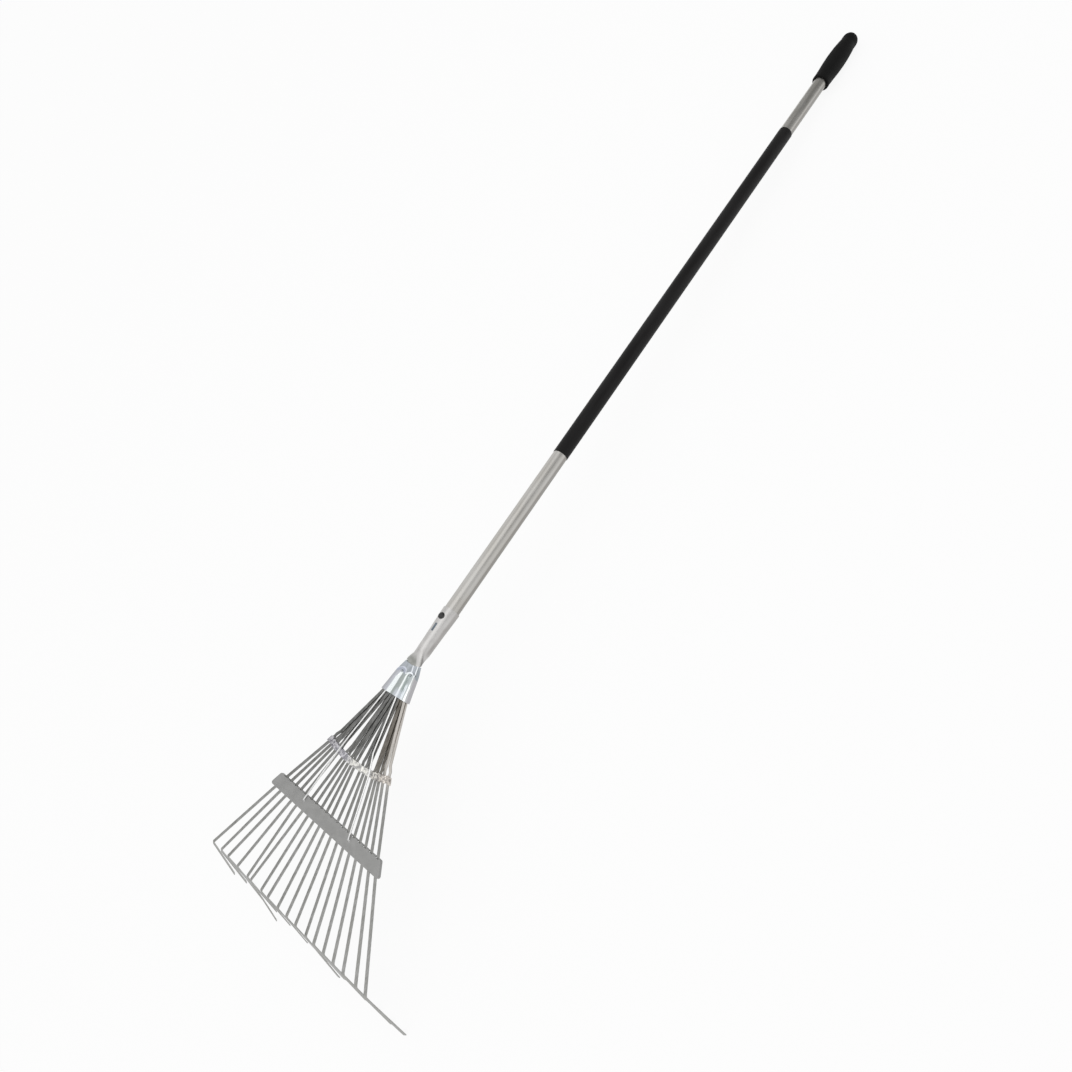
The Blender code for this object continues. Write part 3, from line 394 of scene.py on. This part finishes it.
def clamp_spread(tree, vector, down):
    """Where a point is across the clamp, from -1 at its left side to 1 at its right."""
    up_from_mouth = difference(tree, CLAMP_MOUTH_DOWN, down)
    taper = total(tree, product(tree, up_from_mouth, CLAMP_TAPER_GROWTH), CLAMP_TAPER)
    share = difference(tree, 1.0, product(tree, up_from_mouth, taper))
    return calculated(tree, "DIVIDE", part_of(tree, vector, "X"), product(tree, share, CLAMP_HALF_WIDTH))


def past_arch(tree, spread, down, on_right):
    """How far below the clamp's left or right pressed arch a point is."""
    from_middle = difference(tree, product(tree, absolute(tree, spread), 2.0), 1.0)
    sag = product(tree, product(tree, from_middle, from_middle), CLAMP_ARCH_HEIGHT)
    past = difference(tree, difference(tree, down, CLAMP_ARCH_DOWN), sag)
    return difference(tree, past, product(tree, on_right, RIGHT_ARCH_DROP))


def clamp_panels(tree, spread, down):
    """The clamp below its arches: painted highlights on a panel, a rib, the fold and a mouth patch."""
    panel_highlight = (0.93, 0.97, 0.975)
    rib_and_fold_highlight = (0.96, 1.0, 1.0)
    # The white stops are painted highlights on the left panel, the middle rib and the right fold.
    stops = (
        (-0.97, (0.45, 0.455, 0.48)),
        (-0.583, (0.53, 0.54, 0.58)),
        (-0.517, panel_highlight),
        (-0.33, panel_highlight),
        (-0.264, (0.37, 0.405, 0.395)),
        (0.154, (0.43, 0.465, 0.45)),
        (0.198, rib_and_fold_highlight),
        (0.286, rib_and_fold_highlight),
        (0.33, (0.38, 0.43, 0.42)),
        (0.748, (0.54, 0.58, 0.59)),
        (0.797, rib_and_fold_highlight),
        (0.825, (0.96, 0.98, 0.99)),
        (0.863, (0.54, 0.56, 0.56)),
        (0.957, (0.52, 0.52, 0.53)),
        (1.0, (0.45, 0.445, 0.46)),
    )
    colour = ramp_across(tree, spread, CLAMP_REACH, stops)
    near_mouth = smooth_step(tree, down, CLAMP_MOUTH_DOWN - 0.014, CLAMP_MOUTH_DOWN - 0.006)
    in_middle = near(tree, spread, middle=0.20, half_width=0.20, blur=0.20)
    blue_share = product(tree, product(tree, near_mouth, in_middle), 0.5)
    colour = mixed(tree, blue_share, colour, (0.74, 0.77, 0.86))
    # A painted highlight patch near the mouth, right of the middle.
    below_patch_top = smooth_step(tree, down, CLAMP_MOUTH_DOWN - 0.024, CLAMP_MOUTH_DOWN - 0.018)
    in_patch_width = near(tree, spread, middle=0.57, half_width=0.06, blur=0.08)
    return mixed(tree, product(tree, in_patch_width, below_patch_top), colour, (0.92, 0.96, 0.99))


def clamp_top(tree, spread, down, cloud):
    """The clamp above its arches: blue-grey, with painted highlights along a slanting line and the right
    fold.
    """
    colour = mottled(tree, cloud, (0.34, 0.37, 0.39), (0.47, 0.50, 0.54))
    from_top = difference(tree, down, CLAMP_TOP_DOWN)
    straightened = difference(tree, spread, product(tree, from_top, TOP_LINE_SLANT))
    # Painted highlights along a slanting line on the top and along the fold at the right side.
    on_slanting_highlight = near(tree, straightened, middle=0.26, half_width=0.03, blur=0.05)
    colour = mixed(tree, on_slanting_highlight, colour, (0.86, 0.89, 0.94))
    on_fold_highlight = near(tree, spread, middle=0.86, half_width=0.03, blur=0.05)
    return mixed(tree, on_fold_highlight, colour, (0.94, 0.97, 1.0))


def zinc_clamp_material():
    """Zinc clamp: painted highlights on its top, arches and panels, and painted shade in the left hollow."""
    material, tree, shader = material_nodes("look_zinc_clamp")
    vector = rake_coordinates(tree)
    down = distance_down(tree, vector)
    spread = clamp_spread(tree, vector, down)
    cloud = noise(tree, vector, (120.0, 70.0, 120.0), detail=3.0)
    marks = noise(tree, vector, (1500.0, 60.0, 1500.0), detail=2.0)
    wander = product(tree, difference(tree, cloud, 0.5), 0.08)
    wandered = total(tree, spread, wander)
    on_right = smooth_step(tree, spread, -0.20, 0.0)
    past = past_arch(tree, wandered, down, on_right)
    panels = clamp_panels(tree, wandered, down)
    # Painted shade in the hollow below the left arch.
    hollow = mixed(tree, on_right, (0.42, 0.45, 0.52), panels)
    below = mixed(tree, smooth_step(tree, past, CLAMP_HOLLOW - 0.0025, CLAMP_HOLLOW), hollow, panels)
    top = clamp_top(tree, spread, down, cloud)
    colour = mixed(tree, smooth_step(tree, past, -0.0004, 0.0008), top, below)
    # Painted highlight along the arches, dimmer on the left.
    arch = mixed(tree, on_right, (0.62, 0.65, 0.73), (0.92, 0.96, 1.0))
    short_of_side = smooth_step(tree, spread, 0.72, 0.60)
    on_arch = near(tree, past, middle=0.0003, half_width=0.0006, blur=0.0009)
    colour = mixed(tree, product(tree, on_arch, short_of_side), colour, arch)
    set_colour(tree, shader, colour)
    set_roughness(tree, shader, mottled(tree, marks, 0.20, 0.32))
    bump(tree, shader, marks, depth=0.00002, strength=0.25)
    shader.inputs["Metallic"].default_value = 1.0
    return material


def zinc_band_material():
    """Zinc on the crimped band: violet-grey at the left, palest in the middle, tan at the right, dull
    patches.
    """
    material, tree, shader = material_nodes("look_zinc_band")
    vector = rake_coordinates(tree)
    patch = noise(tree, vector, (260.0, 260.0, 260.0), detail=4.0, roughness=0.6)
    marks = noise(tree, vector, (900.0, 300.0, 900.0), detail=2.0)
    spread = calculated(tree, "DIVIDE", part_of(tree, vector, "X"), BAND_HALF_WIDTH)
    across_stops = (
        (-0.90, (0.60, 0.59, 0.61)),
        (-0.40, (0.72, 0.71, 0.75)),
        (-0.04, (0.94, 0.93, 0.88)),
        (0.40, (0.96, 0.95, 0.90)),
        (0.90, (0.74, 0.69, 0.63)),
    )
    patch_stops = (
        (0.44, (0.50, 0.50, 0.52)),
        (0.56, (1.0, 1.0, 1.0)),
    )
    colour = ramp_across(tree, spread, 1.0, across_stops)
    set_colour(tree, shader, tinted(tree, 1.0, colour, ramp(tree, patch, patch_stops)))
    set_roughness(tree, shader, mottled(tree, marks, 0.25, 0.42))
    bump(tree, shader, patch, depth=0.00008, strength=0.4)
    shader.inputs["Metallic"].default_value = 1.0
    return material


def zinc_rivet_material():
    """Zinc plated rivet heads, a little duller than the plates."""
    material, tree, shader = material_nodes("look_rivet_zinc")
    vector = rake_coordinates(tree)
    cloud = noise(tree, vector, (700.0, 700.0, 700.0), detail=2.0)
    set_colour(tree, shader, mottled(tree, cloud, (0.32, 0.34, 0.36), (0.56, 0.59, 0.61)))
    set_roughness(tree, shader, mottled(tree, cloud, 0.28, 0.42))
    bump(tree, shader, cloud, depth=0.00004, strength=0.3)
    shader.inputs["Metallic"].default_value = 1.0
    return material


def fan_spread(tree, vector, down):
    """Where a point is across the fan, from -1 at its left side to 1 at its right."""
    half_width = product(tree, difference(tree, down, BAND_DOWN), FAN_TAPER)
    half_width = total(tree, half_width, BAND_HALF_WIDTH)
    return calculated(tree, "DIVIDE", part_of(tree, vector, "X"), half_width)


def spring_steel_material():
    """Flat spring steel in painted shade above the band, with a brown tint and a pale painted highlight at
    its right there; paler below the band, with painted shade down to the bar that deepens to the left.
    """
    material, tree, shader = material_nodes("look_spring_steel")
    vector = rake_coordinates(tree)
    down = distance_down(tree, vector)
    spread = fan_spread(tree, vector, down)
    streak = noise(tree, vector, (700.0, 25.0, 700.0), detail=3.0, roughness=0.6)
    cloud = noise(tree, vector, (45.0, 45.0, 45.0), detail=3.0)
    # Above the band: the steel in painted shade, with a brown tint and then a pale painted highlight on the
    # right.
    dark = mottled(tree, streak, (0.11, 0.11, 0.108), (0.27, 0.27, 0.263))
    dark = tinted(tree, smooth_step(tree, spread, 0.40, 0.55), dark, (0.98, 0.90, 0.82))
    dark = mixed(tree, smooth_step(tree, spread, 0.84, 0.90), dark, (0.62, 0.59, 0.56))
    # Below the band: the lit steel, with painted shade down to the bar, deepest on the left half.
    light = mottled(tree, streak, (0.33, 0.33, 0.32), (0.46, 0.46, 0.45))
    above_bar = smooth_step(tree, down, BAR_DOWN + 0.004, BAR_DOWN - 0.004)
    light = tinted(tree, above_bar, light, ramp(tree, spread, ((0.0, 0.72), (0.8, 0.90))))
    below_band = smooth_step(tree, down, BAND_DOWN - 0.025, BAND_DOWN + 0.015)
    colour = mixed(tree, below_band, dark, light)
    tint = mottled(tree, cloud, (0.90, 0.90, 0.88), (1.0, 1.0, 1.0))
    set_colour(tree, shader, tinted(tree, 1.0, colour, tint))
    set_roughness(tree, shader, mottled(tree, streak, 0.34, 0.50))
    bump(tree, shader, streak, depth=0.00003, strength=0.3)
    shader.inputs["Metallic"].default_value = 1.0
    return material


def bar_material():
    """The bar's flat matt grey, with a fine sandy grain."""
    material, tree, shader = material_nodes("look_bar_grey")
    vector = rake_coordinates(tree)
    cloud = noise(tree, vector, (70.0, 70.0, 70.0), detail=4.0)
    grain = noise(tree, vector, (1600.0, 1600.0, 1600.0), detail=2.0)
    base = mottled(tree, cloud, (0.300, 0.300, 0.294), (0.350, 0.350, 0.343))
    set_colour(tree, shader, mixed(tree, 0.5, base, mottled(tree, grain, 0.42, 0.58), "OVERLAY"))
    set_roughness(tree, shader, mottled(tree, cloud, 0.50, 0.66))
    bump(tree, shader, grain, depth=0.00004, strength=0.4)
    shader.inputs["Metallic"].default_value = 0.35
    return material


def wire_material():
    """Bright drawn wire."""
    material, tree, shader = material_nodes("look_bright_wire")
    vector = rake_coordinates(tree)
    streak = noise(tree, vector, (1500.0, 30.0, 1500.0), detail=2.0)
    set_colour(tree, shader, mottled(tree, streak, (0.66, 0.66, 0.66), (0.88, 0.88, 0.87)))
    set_roughness(tree, shader, mottled(tree, streak, 0.16, 0.28))
    bump(tree, shader, streak, depth=0.00002, strength=0.25)
    shader.inputs["Metallic"].default_value = 1.0
    return material


def smooth_group():
    """Joins a mesh's loose triangles and shades it smooth where its faces meet at a shallow angle."""
    group = bpy.data.node_groups.new("smooth_by_angle", "GeometryNodeTree")
    group.interface.new_socket("Geometry", in_out="INPUT", socket_type="NodeSocketGeometry")
    group.interface.new_socket("Geometry", in_out="OUTPUT", socket_type="NodeSocketGeometry")
    start = group.nodes.new("NodeGroupInput")
    join = group.nodes.new("GeometryNodeMergeByDistance")
    join.inputs["Distance"].default_value = JOIN_DISTANCE
    smooth = group.nodes.new("GeometryNodeSetShadeSmooth")
    smooth.domain = "FACE"
    smooth.inputs["Shade Smooth"].default_value = True
    angle = group.nodes.new("GeometryNodeInputMeshEdgeAngle")
    steep = group.nodes.new("FunctionNodeCompare")
    steep.data_type = "FLOAT"
    steep.operation = "GREATER_THAN"
    steep.inputs["B"].default_value = math.radians(SMOOTH_ANGLE)
    sharp = group.nodes.new("GeometryNodeSetShadeSmooth")
    sharp.domain = "EDGE"
    sharp.inputs["Shade Smooth"].default_value = False
    end = group.nodes.new("NodeGroupOutput")
    group.links.new(start.outputs["Geometry"], join.inputs["Geometry"])
    group.links.new(join.outputs["Geometry"], smooth.inputs["Geometry"])
    group.links.new(smooth.outputs["Geometry"], sharp.inputs["Geometry"])
    group.links.new(angle.outputs["Unsigned Angle"], steep.inputs["A"])
    group.links.new(steep.outputs["Result"], sharp.inputs["Selection"])
    group.links.new(sharp.outputs["Geometry"], end.inputs["Geometry"])
    return group


def dress(node, material, group):
    """Gives a CAD node its material and its smooth shading."""
    node.data.materials[0] = material
    shade = node.modifiers.new("smooth", "NODES")
    shade.node_group = group


def look_of(name, looks):
    """The material for a node: the one under the longest key that starts the node's name."""
    starts = [start for start in looks if name.startswith(start)]
    return looks[max(starts, key=len)]


def dress_nodes(nodes):
    """Dresses every CAD node. Repeated pieces share the material of their common name."""
    group = smooth_group()
    clamp_zinc = zinc_clamp_material()
    looks = {
        "end_grip": soft_grip_material(),
        "handle_sleeve": sleeve_material(),
        "handle_tube": tube_material(),
        "socket": socket_material(),
        "socket_rivet": black_rivet_material(),
        "clamp_front": clamp_zinc,
        "clamp_back": clamp_zinc,
        "clamp_rivet": zinc_rivet_material(),
        "spacer_band": zinc_band_material(),
        "cross_bar": bar_material(),
        "stay": wire_material(),
        "tine": spring_steel_material(),
    }
    for name, node in nodes.items():
        dress(node, look_of(name, looks), group)


def floor_material():
    """A pale floor that shows white to the camera and in reflections, and keeps a soft shadow."""
    material = bpy.data.materials.new("floor_white")
    material.use_nodes = True
    tree = material.node_tree
    tree.nodes.clear()
    path = tree.nodes.new("ShaderNodeLightPath")
    seen = calculated(tree, "MAXIMUM", path.outputs["Is Camera Ray"], path.outputs["Is Glossy Ray"])
    seen = calculated(tree, "MAXIMUM", seen, path.outputs["Is Transmission Ray"])
    share = product(tree, seen, FLOOR_WHITE_SHARE)
    lit = tree.nodes.new("ShaderNodeBsdfDiffuse")
    lit.inputs["Color"].default_value = (0.86, 0.86, 0.86, 1.0)
    white = tree.nodes.new("ShaderNodeEmission")
    white.inputs["Strength"].default_value = 1.0
    mix = tree.nodes.new("ShaderNodeMixShader")
    end = tree.nodes.new("ShaderNodeOutputMaterial")
    tree.links.new(share, mix.inputs["Fac"])
    tree.links.new(lit.outputs["BSDF"], mix.inputs[1])
    tree.links.new(white.outputs["Emission"], mix.inputs[2])
    tree.links.new(mix.outputs["Shader"], end.inputs["Surface"])
    return material


def floor():
    size = FLOOR_HALF_SIZE
    corners = [(-size, -size, 0.0), (size, -size, 0.0), (size, size, 0.0), (-size, size, 0.0)]
    mesh = bpy.data.meshes.new("floor")
    mesh.from_pydata(corners, [], [(0, 1, 2, 3)])
    mesh.materials.append(floor_material())
    thing = bpy.data.objects.new("floor", mesh)
    bpy.context.scene.collection.objects.link(thing)


def grey_card(tree, direction, way, edge):
    """How much a round grey card, which lies this way from the rake, covers each direction."""
    node = tree.nodes.new("ShaderNodeVectorMath")
    node.operation = "DOT_PRODUCT"
    node.inputs[1].default_value = Vector(way).normalized()
    tree.links.new(direction, node.inputs[0])
    inner, outer = (math.cos(math.radians(angle)) for angle in edge)
    return smooth_step(tree, node.outputs["Value"], outer, inner)


def studio_world():
    """A white studio with a darker far end and two grey cards, which the bright metal shows."""
    world = bpy.data.worlds.new("studio")
    world.use_nodes = True
    tree = world.node_tree
    background = tree.nodes["Background"]
    direction = tree.nodes.new("ShaderNodeTexCoord").outputs["Generated"]
    far_end = smooth_step(tree, part_of(tree, direction, "Y"), FAR_END_START, FAR_END_FULL)
    sky = mixed(tree, far_end, (1.0, 1.0, 1.0), (0.35, 0.35, 0.34))
    right_card = grey_card(tree, direction, RIGHT_CARD_WAY, RIGHT_CARD_EDGE)
    sky = tinted(tree, right_card, sky, (0.50, 0.50, 0.50))
    left_card = grey_card(tree, direction, LEFT_CARD_WAY, LEFT_CARD_EDGE)
    sky = tinted(tree, left_card, sky, (0.55, 0.55, 0.55))
    tree.links.new(sky, background.inputs["Color"])
    bpy.context.scene.world = world


def soft_box(name, place, target, width, height, power):
    light = bpy.data.lights.new(name, "AREA")
    light.shape = "RECTANGLE"
    light.size = width
    light.size_y = height
    light.energy = power
    thing = bpy.data.objects.new(name, light)
    thing.location = place
    aim = Vector(target) - Vector(place)
    thing.rotation_mode = "QUATERNION"
    thing.rotation_quaternion = aim.to_track_quat("-Z", "Y")
    bpy.context.scene.collection.objects.link(thing)


def lights():
    place = (0.3, -0.2, 2.4)
    target = (0.0, -0.2, 0.0)
    soft_box("overhead_box", place, target, width=2.0, height=2.0, power=6.0)


def camera():
    lens = bpy.data.cameras.new("camera")
    lens.lens = CAMERA_LENS
    lens.clip_start = 0.05
    lens.clip_end = 200.0
    thing = bpy.data.objects.new("camera", lens)
    thing.location = CAMERA_PLACE
    aim = Vector(CAMERA_TARGET) - Vector(CAMERA_PLACE)
    roll = Quaternion((0.0, 0.0, 1.0), math.radians(-CAMERA_ROLL))
    thing.rotation_mode = "QUATERNION"
    thing.rotation_quaternion = aim.to_track_quat("-Z", "Y") @ roll
    bpy.context.scene.collection.objects.link(thing)
    bpy.context.scene.camera = thing


clear_scene()
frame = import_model()
dress_nodes(frame["nodes"])
floor()
studio_world()
lights()
camera()
bpy.context.scene.view_settings.view_transform = "Standard"
